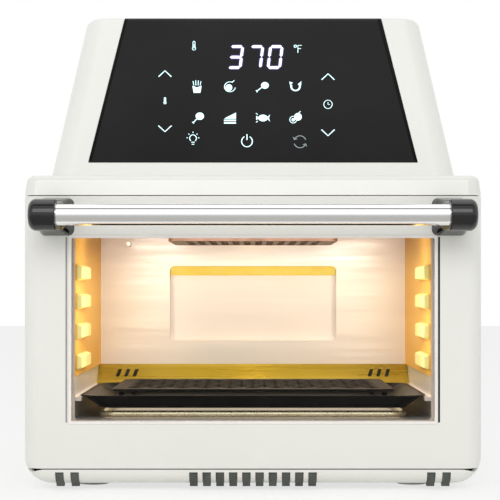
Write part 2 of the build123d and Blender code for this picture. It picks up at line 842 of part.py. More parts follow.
shroud_base = cavity_ceiling + sheet
shroud_top = shroud_base + shroud_height
element_z = cavity_ceiling - 9.0
terminal_half = 12.0
terminal_y = fan_y + (ring_radius ** 2 - terminal_half ** 2) ** 0.5
terminal_spots = [(-terminal_half, terminal_y), (terminal_half, terminal_y)]
bush_radius = 5.0


def rounded_can(radius, height, edge):
    """Upright can on the ceiling plate with a rounded upper edge."""
    with BuildPart(mode=Mode.PRIVATE) as can:
        with BuildSketch(Plane.XY.offset(shroud_base)):
            with Locations((0, fan_y)):
                Circle(radius)
        extrude(amount=height)
        fillet(can.edges().group_by(Axis.Z)[-1], edge)
    return can.part


with BuildPart() as fan_shroud:
    add(rounded_can(shroud_radius, shroud_height, shroud_edge))
    with BuildSketch(Plane.XY.offset(shroud_base)):
        with Locations((0, fan_y)):
            Circle(shroud_radius + 3)
    extrude(amount=sheet)
    add(rounded_can(shroud_radius - sheet, shroud_height - sheet, shroud_edge - sheet), mode=Mode.SUBTRACT)
    with BuildSketch(Plane.XY.offset(shroud_top - sheet - 1)):
        with Locations((0, fan_y)):
            Circle(shaft_radius + 2)
        with Locations(*terminal_spots):
            Circle(bush_radius + seat)
    extrude(amount=sheet + 2, mode=Mode.SUBTRACT)
save(fan_shroud, "fan_shroud")

with BuildPart() as element_bushes:
    for x, y in terminal_spots:
        with BuildSketch(Plane.XY.offset(shroud_top - sheet - 3)):
            with Locations((x, y)):
                Circle(bush_radius)
                Circle(element_radius + seat, mode=Mode.SUBTRACT)
        extrude(amount=sheet + 8)
        with BuildSketch(Plane.XY.offset(shroud_top)):
            with Locations((x, y)):
                Circle(bush_radius + 2)
                Circle(element_radius + seat, mode=Mode.SUBTRACT)
        extrude(amount=3)
save(element_bushes, "element_bushes")

half_gap = degrees(asin(terminal_half / ring_radius))
ring_plane = Plane(origin=(0, fan_y, 0), x_dir=(-sin(radians(half_gap)), cos(radians(half_gap)), 0),
                   z_dir=(cos(radians(half_gap)), sin(radians(half_gap)), 0))

with BuildPart() as heating_element:
    with BuildSketch(ring_plane):
        with Locations((ring_radius, element_z)):
            Circle(element_radius)
    revolve(axis=Axis((0, fan_y, 0), (0, 0, 1)), revolution_arc=360 - 2 * half_gap)
    for x, y in terminal_spots:
        with Locations((x, y, element_z)):
            Sphere(element_radius)
        with BuildSketch(Plane.XY.offset(element_z)):
            with Locations((x, y)):
                Circle(element_radius)
        extrude(amount=shroud_top + 14 - element_z)
save(heating_element, "heating_element")

with BuildPart() as element_guard:
    with BuildSketch(Plane.XY.offset(cavity_ceiling - guard_drop)):
        with Locations((0, fan_y)):
            RectangleRounded(guard_size, guard_size, 10)
    extrude(amount=guard_drop)
    with BuildSketch(Plane.XY.offset(cavity_ceiling - guard_drop + sheet)):
        with Locations((0, fan_y)):
            RectangleRounded(guard_size - 2 * sheet, guard_size - 2 * sheet, 10 - sheet)
    extrude(amount=guard_drop, mode=Mode.SUBTRACT)
    with BuildSketch(Plane.XY.offset(cavity_ceiling - guard_drop - 1)):
        with Locations((0, fan_y)):
            with GridLocations(10, 42, 12, 3):
                SlotOverall(36, 6, rotation=90)
    extrude(amount=sheet + 2, mode=Mode.SUBTRACT)
save(element_guard, "element_guard")

# Fan, shaft, cooling fan and motor on one axis
fan_base = cavity_ceiling + 4.0
motor_base = shroud_top + 22.0
cooling_base = shroud_top + 5.0
bearing = 0.05


def blade_wheel(base, radius, height, count, hub):
    """Disc with straight upright blades around a hub."""
    with BuildPart(mode=Mode.PRIVATE) as wheel:
        with BuildSketch(Plane.XY.offset(base)):
            Circle(radius)
        extrude(amount=1.2)
        with BuildSketch(Plane.XY.offset(base)):
            Circle(hub)
        extrude(amount=height)
        with BuildSketch(Plane.XY.offset(base + 1.2)):
            with PolarLocations((radius + hub) / 2, count):
                Rectangle(radius - hub - 2, 1.6, rotation=18)
        extrude(amount=height - 1.2)
        with BuildSketch(Plane.XY.offset(base - 1)):
            Circle(shaft_radius)
        extrude(amount=height + 2, mode=Mode.SUBTRACT)
    return Pos(0, fan_y, 0) * wheel.part


with BuildPart() as convection_fan:
    add(blade_wheel(fan_base, blade_radius, blade_height, blade_count, 9))
save(convection_fan, "convection_fan")

with BuildPart() as cooling_fan:
    add(blade_wheel(cooling_base, cooling_radius, 11, 10, 8))
save(cooling_fan, "cooling_fan")

with BuildPart() as fan_shaft:
    with BuildSketch(Plane.XY.offset(fan_base - 2)):
        with Locations((0, fan_y)):
            Circle(shaft_radius)
    extrude(amount=motor_base + motor_height + 6 - fan_base + 2)
save(fan_shaft, "fan_shaft")

with BuildPart() as fan_motor:
    with BuildSketch(Plane.XY.offset(motor_base)):
        with Locations((0, fan_y)):
            Circle(motor_radius)
    extrude(amount=motor_height)
    fillet(fan_motor.edges().group_by(Axis.Z)[-1], 4)
    with BuildSketch(Plane.XY.offset(motor_base + 8)):
        with Locations((0, fan_y)):
            Rectangle(2 * motor_radius + 8, 34)
    extrude(amount=24)
    with BuildSketch(Plane.XY.offset(motor_base - 1)):
        with Locations((0, fan_y)):
            Circle(shaft_radius + bearing)
    extrude(amount=motor_height + 2, mode=Mode.SUBTRACT)
save(fan_motor, "fan_motor")

leg_x = 88.0
leg_spots = [(x, fan_y + y) for x in (-leg_x, leg_x) for y in (-30, 30)]
bridge_sheet = 2.0
with BuildPart() as motor_bracket:
    with BuildSketch(Plane.XY.offset(motor_base - bridge_sheet)):
        with Locations((0, fan_y)):
            RectangleRounded(190, 76, 8)
            Circle(shaft_radius + 4, mode=Mode.SUBTRACT)
            with PolarLocations(22, 6):
                Circle(6, mode=Mode.SUBTRACT)
    extrude(amount=bridge_sheet)
    with BuildSketch(Plane.XY.offset(shroud_base)):
        with Locations(*leg_spots):
            RectangleRounded(8, 12, 2)
    extrude(amount=motor_base - bridge_sheet - shroud_base)
save(motor_bracket, "motor_bracket")

# Oven lamp in the ceiling
with BuildPart() as lamp_dome:
    with BuildSketch(Plane.XZ):
        with BuildLine():
            Polyline((lamp_hole + 3, cavity_ceiling), (0, cavity_ceiling))
            Line((0, cavity_ceiling), (0, cavity_ceiling - 12))
            RadiusArc((0, cavity_ceiling - 12), (lamp_hole + 3, cavity_ceiling), -22)
        make_face()
    revolve(axis=Axis.Z)

with BuildPart() as lamp_glass:
    add(Pos(0, lamp_y, 0) * lamp_dome.part)
    with Locations((0, lamp_y, cavity_ceiling + 1)):
        Cylinder(lamp_hole - 5, 16, mode=Mode.SUBTRACT)
save(lamp_glass, "lamp_glass")

with BuildPart() as lamp_socket:
    with BuildSketch(Plane.XY.offset(shroud_base)):
        with Locations((0, lamp_y)):
            Circle(lamp_hole + 5)
            Circle(lamp_hole - 4, mode=Mode.SUBTRACT)
    extrude(amount=2)
    with BuildSketch(Plane.XY.offset(shroud_base + 2)):
        with Locations((0, lamp_y)):
            Circle(lamp_hole)
            Circle(lamp_hole - 4, mode=Mode.SUBTRACT)
    extrude(amount=26)
    with BuildSketch(Plane.XY.offset(shroud_base + 28)):
        with Locations((0, lamp_y)):
            Circle(lamp_hole)
    extrude(amount=6)
save(lamp_socket, "lamp_socket")

with BuildPart() as lamp_bulb:
    with Locations((0, lamp_y, cavity_ceiling + 6)):
        Sphere(8)
    with BuildSketch(Plane.XY.offset(cavity_ceiling + 8)):
        with Locations((0, lamp_y)):
            Circle(5)
    extrude(amount=shroud_base + 28 - cavity_ceiling - 8)
save(lamp_bulb, "lamp_bulb")

probe_x = -(cavity_half - 28.0)
probe_z = 204.0
with BuildPart() as temperature_probe:
    with BuildSketch(Plane.XZ.offset(-cavity_back + 26)):
        with Locations((probe_x, probe_z)):
            Circle(2)
    extrude(amount=-26)
    with BuildSketch(Plane.XZ.offset(-cavity_back + 1.5)):
        with Locations((probe_x, probe_z)):
            RegularPolygon(5, 6)
    extrude(amount=-1.5)
save(temperature_probe, "temperature_probe")

cutout_spot = (-(cavity_half - 42.0), cavity_back - 45.0)
with BuildPart() as thermal_cutout:
    with BuildSketch(Plane.XY.offset(shroud_base)):
        with Locations(cutout_spot):
            Circle(9)
            Rectangle(34, 8)
    extrude(amount=2)
    with BuildSketch(Plane.XY.offset(shroud_base + 2)):
        with Locations(cutout_spot):
            Circle(8)
    extrude(amount=9)
save(thermal_cutout, "thermal_cutout")

# Electronics behind the touch panel and on the ceiling
display_front = -(panel_recess + 0.2)
display_depth = 8.0
board_sheet = 1.6
board_back = display_front - display_depth - board_sheet

with BuildPart() as display_module:
    with BuildSketch(panel_plane.offset(display_front)):
        with Locations((0, display_rise)):
            RectangleRounded(display_width, display_height, 4)
    extrude(amount=-display_depth)
save(display_module, "display_module")

with BuildPart() as control_board:
    with BuildSketch(panel_plane.offset(display_front - display_depth)):
        with Locations((0, display_rise)):
            Rectangle(display_width + 18, display_height + 10)
    extrude(amount=-board_sheet)
    with BuildSketch(panel_plane.offset(board_back)):
        with Locations((-50, display_rise), (10, display_rise + 12)):
            Rectangle(24, 16)
        with Locations((50, display_rise - 18)):
            Circle(6)
    extrude(amount=-6)
save(control_board, "control_board")

board_inner = leg_x + 8.0
board_outer = body_width / 2 - 40.0
board_x = (board_inner + board_outer) / 2
board_width = board_outer - board_inner
board_z = shroud_base + 10.0
with BuildPart() as power_board:
    with BuildSketch(Plane.XY.offset(board_z)):
        with Locations((board_x, fan_y)):
            Rectangle(board_width, 120)
    extrude(amount=1.6)
    with BuildSketch(Plane.XY.offset(board_z + 1.6)):
        with Locations((board_x, fan_y - 35)):
            Rectangle(0.54 * board_width, 22)
        with Locations(*[(board_x + side * 0.23 * board_width, fan_y + 10) for side in (-1, 1)]):
            Circle(board_width / 6)
        with Locations((board_x, fan_y + 42)):
            Rectangle(0.62 * board_width, 18)
    extrude(amount=16)
    with BuildSketch(Plane.XY.offset(shroud_base)):
        with Locations((board_x, fan_y)):
            with GridLocations(board_width - 8, 112, 2, 2):
                Circle(3)
    extrude(amount=10)
save(power_board, "power_board")

# Drip tray: tapered pan with a rolled rim
tray_mid_y = cavity_front + tray_front_play + tray_rim_depth / 2
rim_lip = 2.0
rim_sheet = 1.0
floor_depth = tray_rim_depth - (tray_rim_width - tray_floor_width) * 0.55


def tray_form(inset, base_z, top_z):
    """Tapered body of the tray, moved inwards by inset."""
    with BuildPart(mode=Mode.PRIVATE) as form:
        with BuildSketch(Plane.XY.offset(base_z)):
            with Locations((0, tray_mid_y)):
                RectangleRounded(tray_floor_width - 2 * inset, floor_depth - 2 * inset, 14 - inset)
        with BuildSketch(Plane.XY.offset(top_z)):
            with Locations((0, tray_mid_y)):
                RectangleRounded(
                    tray_rim_width - 2 * (rim_lip + inset),
                    tray_rim_depth - 2 * (rim_lip + inset), 18 - inset,
                )
        loft(ruled=True)
    return form.part


with BuildPart() as drip_tray:
    add(tray_form(0, tray_floor_height, tray_rim_height))
    with BuildSketch(Plane.XY.offset(tray_rim_height - rim_sheet)):
        with Locations((0, tray_mid_y)):
            RectangleRounded(tray_rim_width, tray_rim_depth, 20)
    extrude(amount=rim_sheet)
    add(tray_form(tray_sheet, tray_floor_height + tray_sheet, tray_rim_height + 0.01), mode=Mode.SUBTRACT)
save(drip_tray, "drip_tray")

# Mesh rack: a frame with crossed wires and four legs
rack_z = tray_rim_height + 2.0
leg_inset = 16.0
with BuildPart() as mesh_rack:
    with BuildSketch(Plane.XY.offset(rack_z)):
        with Locations((0, tray_mid_y)):
            RectangleRounded(rack_width, rack_depth, 12)
            RectangleRounded(rack_width - 8, rack_depth - 8, 9, mode=Mode.SUBTRACT)
    extrude(amount=rack_wire)
    with BuildSketch(Plane.XY.offset(rack_z)):
        with Locations((0, tray_mid_y)):
            RectangleRounded(rack_width - 4, rack_depth - 4, 10)
            columns = int((rack_width - 12) // rack_pitch)
            rows = int((rack_depth - 12) // rack_pitch)
            hole = rack_pitch - rack_wire * 1.5
            with GridLocations(rack_pitch, rack_pitch, columns, rows):
                Rectangle(hole * 0.7071, hole * 0.7071, rotation=45, mode=Mode.SUBTRACT)
            with GridLocations(rack_pitch, rack_pitch, columns - 1, rows - 1):
                Rectangle(hole * 0.7071, hole * 0.7071, rotation=45, mode=Mode.SUBTRACT)
    extrude(amount=rack_wire)
    with BuildSketch(Plane.XY.offset(tray_floor_height + tray_sheet)):
        with Locations((0, tray_mid_y)):
            with GridLocations(rack_width - leg_inset, rack_depth - leg_inset, 2, 2):
                Circle(2.2)
    extrude(amount=rack_z - tray_floor_height - tray_sheet + 1)
save(mesh_rack, "mesh_rack")
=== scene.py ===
import math

import bpy
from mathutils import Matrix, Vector


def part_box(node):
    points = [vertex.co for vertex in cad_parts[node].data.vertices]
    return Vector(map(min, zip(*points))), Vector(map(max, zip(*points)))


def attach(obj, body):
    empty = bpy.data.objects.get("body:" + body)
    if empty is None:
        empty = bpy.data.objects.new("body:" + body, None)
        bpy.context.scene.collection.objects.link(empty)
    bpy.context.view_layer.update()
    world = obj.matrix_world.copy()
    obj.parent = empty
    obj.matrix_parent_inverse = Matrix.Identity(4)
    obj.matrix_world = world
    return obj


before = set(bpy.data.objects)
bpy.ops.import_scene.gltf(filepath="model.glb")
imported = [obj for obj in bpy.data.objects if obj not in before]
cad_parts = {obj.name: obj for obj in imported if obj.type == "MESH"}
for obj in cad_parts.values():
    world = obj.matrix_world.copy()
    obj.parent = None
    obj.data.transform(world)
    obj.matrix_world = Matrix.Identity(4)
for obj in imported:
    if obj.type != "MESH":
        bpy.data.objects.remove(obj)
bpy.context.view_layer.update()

# Camera, in metres: level with the window's upper third, square to the front
FRAME_PX = 500
SCALE_AT_FRONT = 0.0008
CAMERA_DISTANCE = 1.35
HORIZON_PX = 290.0
CENTRE_PX = 253.0
CAMERA_HEIGHT = 0.1605
SENSOR = 36.0
FRONT_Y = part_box("door_frame")[0].y
camera_place = Vector((0.0, FRONT_Y - CAMERA_DISTANCE, CAMERA_HEIGHT))

camera_data = bpy.data.cameras.new("camera")
camera = bpy.data.objects.new("camera", camera_data)
bpy.context.scene.collection.objects.link(camera)
camera.location = camera_place
camera.rotation_euler = (math.radians(90), 0, 0)
camera_data.sensor_width = SENSOR
camera_data.lens = SENSOR * CAMERA_DISTANCE / (FRAME_PX * SCALE_AT_FRONT)
camera_data.shift_x = (FRAME_PX / 2 - CENTRE_PX) / FRAME_PX
camera_data.shift_y = (HORIZON_PX - FRAME_PX / 2) / FRAME_PX
bpy.context.scene.camera = camera
bpy.context.scene.view_settings.view_transform = "Standard"

# Leaning face of the touch panel, through a point near its foot
LEAN = math.radians(36)
panel_out = Vector((0, -math.cos(LEAN), math.sin(LEAN)))
HEAD_POINT = Vector((0, -0.14594, 0.26400))
PANEL_PROUD = 0.0003
panel_point = HEAD_POINT + panel_out * PANEL_PROUD


def on_panel(px, py, lift):
    """Point of the touch panel seen at a pixel of the photograph's frame."""
    ray = Vector((
        (px - CENTRE_PX) * SCALE_AT_FRONT,
        CAMERA_DISTANCE,
        (HORIZON_PX - py) * SCALE_AT_FRONT,
    ))
    start = panel_point + panel_out * lift
    reach = (start - camera_place).dot(panel_out) / ray.dot(panel_out)
    return camera_place + ray * reach


# Materials


def new_material(name):
    """Material with its Principled shader."""
    material = bpy.data.materials.new(name)
    material.use_nodes = True
    tree = material.node_tree
    return material, tree, tree.nodes["Principled BSDF"]


def noise(tree, scale, detail=3.0, stretch=(1, 1, 1)):
    """Noise over the object's own coordinates, in metres."""
    coords = tree.nodes.new("ShaderNodeTexCoord")
    mapping = tree.nodes.new("ShaderNodeMapping")
    mapping.inputs["Scale"].default_value = stretch
    texture = tree.nodes.new("ShaderNodeTexNoise")
    texture.inputs["Scale"].default_value = scale
    texture.inputs["Detail"].default_value = detail
    tree.links.new(coords.outputs["Object"], mapping.inputs["Vector"])
    tree.links.new(mapping.outputs["Vector"], texture.inputs["Vector"])
    return texture.outputs["Fac"]


def ramp(tree, factor, low, high, start=0.35, end=0.65):
    """Blend of two colours, or two greys, along a factor."""
    node = tree.nodes.new("ShaderNodeValToRGB")
    node.color_ramp.elements[0].position = start
    node.color_ramp.elements[1].position = end
    for element, value in zip(node.color_ramp.elements, (low, high)):
        colour = value if isinstance(value, tuple) else (value, value, value)
        element.color = (*colour, 1)
    tree.links.new(factor, node.inputs["Fac"])
    return node.outputs["Color"]


def bump(tree, shader, factor, strength, distance):
    node = tree.nodes.new("ShaderNodeBump")
    node.inputs["Strength"].default_value = strength
    node.inputs["Distance"].default_value = distance
    tree.links.new(factor, node.inputs["Height"])
    tree.links.new(node.outputs["Normal"], shader.inputs["Normal"])


COAT_ROUGHNESS = 0.06
RELIEF_DEPTH = 0.0004
CAVITY_HALF = 0.146
LEDGE_FOOT = 0.0006
LEDGE_FACE = 0.0022
BRUSHED_X = (0.04, 1, 1)
BRUSHED_Y = (1, 0.04, 1)


def surface(
    name, colours, roughness, metallic=0.0, coat=0.0, grain=40.0, stretch=(1, 1, 1),
    relief=0.0, relief_scale=600.0, specular=0.5,
):
    """Surface with slow colour drift, uneven gloss and a fine relief."""
    material, tree, shader = new_material(name)
    drift = noise(tree, grain, 3.0, stretch)
    tree.links.new(ramp(tree, drift, *colours), shader.inputs["Base Color"])
    gloss = noise(tree, grain * 3.7, 4.0, stretch)
    tree.links.new(ramp(tree, gloss, *roughness), shader.inputs["Roughness"])
    shader.inputs["Metallic"].default_value = metallic
    shader.inputs["Specular IOR Level"].default_value = specular
    shader.inputs["Coat Weight"].default_value = coat
    shader.inputs["Coat Roughness"].default_value = COAT_ROUGHNESS
    if relief:
        bump(tree, shader, noise(tree, relief_scale, 2.0, stretch), relief, RELIEF_DEPTH)
    return material


def glowing(name, colours, strength, grain=60.0):
    """Glowing surface, such as a backlit pictogram or a lamp, or painted light on a part that is no lamp.
    """
    material, tree, shader = new_material(name)
    tint = ramp(tree, noise(tree, grain), *colours)
    tree.links.new(tint, shader.inputs["Base Color"])
    tree.links.new(tint, shader.inputs["Emission Color"])
    shader.inputs["Emission Strength"].default_value = strength
    shader.inputs["Roughness"].default_value = 0.4
    return material


def clear(name, tint, mirror):
    """Thin clear glass: tinted see-through with a faint, uneven mirror gloss."""
    material, tree, shader = new_material(name)
    tree.nodes.remove(shader)
    see_through = tree.nodes.new("ShaderNodeBsdfTransparent")
    tree.links.new(ramp(tree, noise(tree, 9.0), *tint), see_through.inputs["Color"])
    gloss = tree.nodes.new("ShaderNodeBsdfGlossy")
    gloss.inputs["Roughness"].default_value = 0.04
    blend = tree.nodes.new("ShaderNodeMixShader")
    tree.links.new(ramp(tree, noise(tree, 5.0), *mirror), blend.inputs["Fac"])
    tree.links.new(see_through.outputs[0], blend.inputs[1])
    tree.links.new(gloss.outputs[0], blend.inputs[2])
    tree.links.new(blend.outputs[0], tree.nodes["Material Output"].inputs["Surface"])
    return material


def side_steel():
    """Steel painted with warm lamp light, with a paler painted highlight on the ledges that stand in from
    the wall.
    """
    material, tree, shader = new_material("side_steel")
    coords = tree.nodes.new("ShaderNodeTexCoord")
    split = tree.nodes.new("ShaderNodeSeparateXYZ")
    tree.links.new(coords.outputs["Object"], split.inputs["Vector"])
    from_middle = tree.nodes.new("ShaderNodeMath")
    from_middle.operation = "ABSOLUTE"
    tree.links.new(split.outputs["X"], from_middle.inputs[0])
    # Mask of the ledges' painted highlight, by distance from the cavity's middle
    reach = tree.nodes.new("ShaderNodeMapRange")
    reach.inputs["From Min"].default_value = CAVITY_HALF - LEDGE_FOOT
    reach.inputs["From Max"].default_value = CAVITY_HALF - LEDGE_FACE
    tree.links.new(from_middle.outputs[0], reach.inputs["Value"])
    blend = tree.nodes.new("ShaderNodeMix")
    blend.data_type = "RGBA"
    tree.links.new(reach.outputs["Result"], blend.inputs["Factor"])
    # Painted warm lamp light on the wall, and a paler painted highlight on the ledges
    wall = ramp(tree, noise(tree, 30.0, 3.0, BRUSHED_Y), (0.80, 0.43, 0.07), (0.88, 0.52, 0.12))
    ledge_highlight = ramp(tree, noise(tree, 45.0), (0.95, 0.86, 0.34), (0.98, 0.91, 0.42))
    tree.links.new(wall, blend.inputs["A"])
    tree.links.new(ledge_highlight, blend.inputs["B"])
    tree.links.new(blend.outputs["Result"], shader.inputs["Base Color"])
    tree.links.new(ramp(tree, noise(tree, 90.0), 0.45, 0.55), shader.inputs["Roughness"])
    shader.inputs["Specular IOR Level"].default_value = 0.12
    return material


finishes = {
    "white": surface("white_gloss", ((0.865, 0.868, 0.815), (0.885, 0.887, 0.838)), (0.16, 0.24),
                     coat=0.35, grain=7.0, relief=0.015, relief_scale=260.0),
    "panel": surface("touch_glass", ((0.013, 0.013, 0.0135), (0.016, 0.016, 0.0165)), (0.14, 0.20),
                     grain=12.0, specular=0.08),
    "panel_edge": surface("touch_edge", ((0.001, 0.001, 0.001), (0.002, 0.002, 0.002)), (0.10, 0.16),
                          grain=12.0, specular=0.08),
    "black": surface("black_gloss", ((0.006, 0.006, 0.007), (0.010, 0.010, 0.011)), (0.10, 0.16),
                     coat=0.2, grain=30.0, specular=0.45),
    "dark_vent": surface("dark_vent", ((0.060, 0.068, 0.058), (0.095, 0.105, 0.090)), (0.45, 0.6),
                         grain=50.0, relief=0.06),
    "chrome": surface("chrome", ((0.86, 0.86, 0.87), (0.91, 0.91, 0.92)), (0.05, 0.09),
                      metallic=1.0, grain=25.0, stretch=BRUSHED_X),
    "trim": surface("trim_metal", ((0.92, 0.89, 0.86), (0.95, 0.92, 0.89)), (0.24, 0.30),
                    grain=20.0, specular=0.4),
    # Window collar glows with painted warm lamp light; it is no lamp
    "collar": glowing("window_collar_glow", ((0.78, 0.63, 0.50), (0.84, 0.69, 0.56)), 0.40),
    # Grey gasket: the black seal painted paler, a painted reflection; gasket_dark is the seal's own black
    "gasket": surface("gasket", ((0.30, 0.29, 0.28), (0.36, 0.35, 0.34)), (0.4, 0.5), grain=60.0),
    "gasket_dark": surface("gasket_dark", ((0.012, 0.011, 0.010), (0.020, 0.018, 0.017)), (0.4, 0.5),
                           grain=60.0, specular=0.2),
    "cavity": surface("cavity_steel", ((0.77, 0.72, 0.715), (0.82, 0.77, 0.765)), (0.30, 0.42),
                      metallic=0.35, grain=70.0, stretch=BRUSHED_X, relief=0.05),
    "side_wall": side_steel(),
    "rack": surface("rack_wire", ((0.003, 0.003, 0.003), (0.007, 0.006, 0.006)), (0.45, 0.6),
                    grain=80.0, specular=0.12),
    # Recess top glows with painted yellow lamp light; it is no lamp
    "recess_top_glow": glowing("recess_top_glow", ((0.94, 0.70, 0.09), (0.98, 0.78, 0.15)), 0.42),
    # Olive yellow of the baffle is a painted reflection of the lamp-lit cavity walls
    "baffle": surface("baffle_steel", ((0.42, 0.32, 0.03), (0.58, 0.47, 0.07)), (0.22, 0.36),
                      metallic=0.55, grain=40.0, stretch=BRUSHED_X, relief=0.05),
    "steel": surface("grey_steel", ((0.50, 0.50, 0.51), (0.60, 0.60, 0.61)), (0.28, 0.42),
                     metallic=0.9, grain=60.0, stretch=BRUSHED_X, relief=0.05),
    "element": surface("element_steel", ((0.34, 0.27, 0.20), (0.46, 0.37, 0.27)), (0.35, 0.5),
                       metallic=0.7, grain=60.0, relief=0.08),
    "lower_tube": surface("lower_tube", ((0.62, 0.52, 0.34), (0.72, 0.61, 0.42)), (0.22, 0.34),
                          metallic=0.8, grain=60.0, relief=0.05),
    "guard": surface("guard_steel", ((0.09, 0.045, 0.025), (0.14, 0.075, 0.045)), (0.35, 0.5),
                     metallic=0.4, grain=60.0, relief=0.08),
    "aluminium": surface("aluminium", ((0.72, 0.72, 0.73), (0.80, 0.80, 0.81)), (0.25, 0.38),
                         metallic=1.0, grain=60.0, relief=0.05),
    "enamel": surface("black_enamel", ((0.004, 0.004, 0.004), (0.008, 0.008, 0.008)), (0.30, 0.42),
                      grain=80.0, relief=0.02, relief_scale=1200.0, specular=0.08),
    "rubber": surface("rubber", ((0.030, 0.030, 0.031), (0.045, 0.045, 0.046)), (0.6, 0.75),
                      grain=50.0, relief=0.1, relief_scale=900.0),
    "pale_rubber": surface("pale_rubber", ((0.84, 0.84, 0.81), (0.88, 0.88, 0.85)), (0.5, 0.6), grain=50.0),
    "silicone": surface("silicone", ((0.60, 0.57, 0.54), (0.66, 0.63, 0.60)), (0.5, 0.62),
                        grain=50.0, relief=0.06),
    "ceramic": surface("ceramic", ((0.82, 0.80, 0.74), (0.88, 0.86, 0.80)), (0.35, 0.5),
                       grain=50.0, relief=0.05),
    "board": surface("board_green", ((0.03, 0.16, 0.08), (0.05, 0.22, 0.11)), (0.35, 0.5),
                     grain=90.0, relief=0.05),
    "window": clear("window_glass", ((0.975, 0.985, 0.98), (0.99, 0.995, 0.99)), (0.001, 0.003)),
    "lamp_glass": clear("lamp_glass", ((1.0, 0.92, 0.78), (1.0, 0.95, 0.84)), (0.10, 0.14)),
    "bulb": glowing("lit_bulb", ((1.0, 0.80, 0.42), (1.0, 0.86, 0.52)), 9.0),
    "icon": glowing("icon_light", ((0.58, 0.83, 0.86), (0.66, 0.90, 0.92)), 1.0),
    "digit": glowing("digit_light", ((0.78, 0.80, 1.0), (0.88, 0.89, 1.0)), 1.15),
    "halo": glowing("digit_halo", ((0.055, 0.045, 0.16), (0.075, 0.06, 0.21)), 0.5),
    "dim": glowing("dim_light", ((0.16, 0.20, 0.21), (0.20, 0.24, 0.25)), 0.6),
}

node_finish = {
    "base_pan": "white", "lower_housing": "white", "head_shell": "white", "door_frame": "white",
    "door_liner": "white", "rear_cover": "white", "touch_panel": "panel", "vent_grille": "dark_vent",
    "feet": "pale_rubber", "cord_bush": "rubber", "rear_screws": "steel", "hinge_pins": "steel",
    "hinge_brackets": "steel", "glass_seal": "silicone", "outer_glass": "window",
    "inner_glass": "window", "window_trim": "trim", "handle_bar": "chrome",
    "handle_cap_left": "black", "handle_cap_right": "black", "handle_screws": "steel",
    "front_frame": "cavity", "door_seal": "silicone", "catch_magnets": "steel",
    "catch_plates": "steel", "door_switch": "black", "switch_plunger": "ceramic",
    "cavity_wall_left": "side_wall", "cavity_wall_right": "side_wall",
    "cavity_floor_pan": "cavity", "cavity_back_wall": "cavity", "rear_baffle": "baffle",
    "lower_element": "lower_tube", "cavity_ceiling": "cavity", "fan_shroud": "steel",
    "element_bushes": "ceramic", "heating_element": "element", "element_guard": "guard",
    "convection_fan": "aluminium", "cooling_fan": "aluminium", "fan_shaft": "steel",
    "fan_motor": "steel", "motor_bracket": "steel", "lamp_glass": "lamp_glass",
    "lamp_socket": "ceramic", "lamp_bulb": "bulb", "temperature_probe": "cavity",
    "thermal_cutout": "ceramic", "display_module": "black", "control_board": "board",
    "power_board": "board", "drip_tray": "enamel", "mesh_rack": "rack",
}
for node, finish in node_finish.items():
    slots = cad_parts[node].data.materials
    slots.clear()
    slots.append(finishes[finish])


# Pieces made here, from meshes and curves


def add_piece(name, data, finish, body="housing"):
    """Link a mesh or curve, give it a finish and let it ride on a body."""
    piece = bpy.data.objects.new(name, data)
    bpy.context.scene.collection.objects.link(piece)
    data.materials.append(finishes[finish])
    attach(piece, body)
    return piece


# Touch panel graphics, each drawn in pixels about its own centre, y upwards
STROKE_SINK = 0.5
HALO_LIFT = 0.00006
SHAPE_LIFT = 0.0001
EDGE_LIFT = 0.00004


def arc(cx, cy, radius, start, stop, steps=14, squeeze=1.0):
    """Points along an arc, angles in degrees."""
    points = []
    for i in range(steps + 1):
        turn = math.radians(start + (stop - start) * i / steps)
        points.append((cx + radius * math.cos(turn), cy + radius * squeeze * math.sin(turn)))
    return points


def draw_strokes(name, centre, strokes, width, finish):
    """Icon made of round strokes lying on the touch panel."""
    curve = bpy.data.curves.new(name, "CURVE")
    curve.dimensions = "3D"
    curve.bevel_depth = width / 2 * SCALE_AT_FRONT
    curve.bevel_resolution = 2
    curve.use_fill_caps = True
    lift = -STROKE_SINK * curve.bevel_depth
    for points in strokes:
        spline = curve.splines.new("POLY")
        closed = points[0] == points[-1] and len(points) > 2
        path = points[:-1] if closed else points
        spline.points.add(len(path) - 1)
        for point, (x, y) in zip(spline.points, path):
            point.co = (*on_panel(centre[0] + x, centre[1] - y, lift), 1)
        spline.use_cyclic_u = closed
    return add_piece(name, curve, finish)


def draw_shapes(name, centre, shapes, finish, lift):
    """Icon made of filled outlines lying on the touch panel."""
    vertices = []
    faces = []
    for points in shapes:
        first = len(vertices)
        vertices += [on_panel(centre[0] + x, centre[1] - y, lift) for x, y in points]
        faces.append(list(range(first, len(vertices))))
    mesh = bpy.data.meshes.new(name)
    mesh.from_pydata(vertices, [], faces)
    return add_piece(name, mesh, finish)


# Readout: the segments of each digit, and each digit with its left edge
SEGMENTS = {"3": "abcdg", "7": "abc", "0": "abcdef"}
READOUT = (("3", 227.3), ("7", 247.4), ("0", 266.8))
DIGIT_TOP = 46.6
DIGIT_HEIGHT = 21.0
DIGIT_WIDTH = 11.6
DIGIT_SLANT = 0.12
SEGMENT = 2.5
SEGMENT_CUT = 0.35
HALO_GROWTH = 0.9


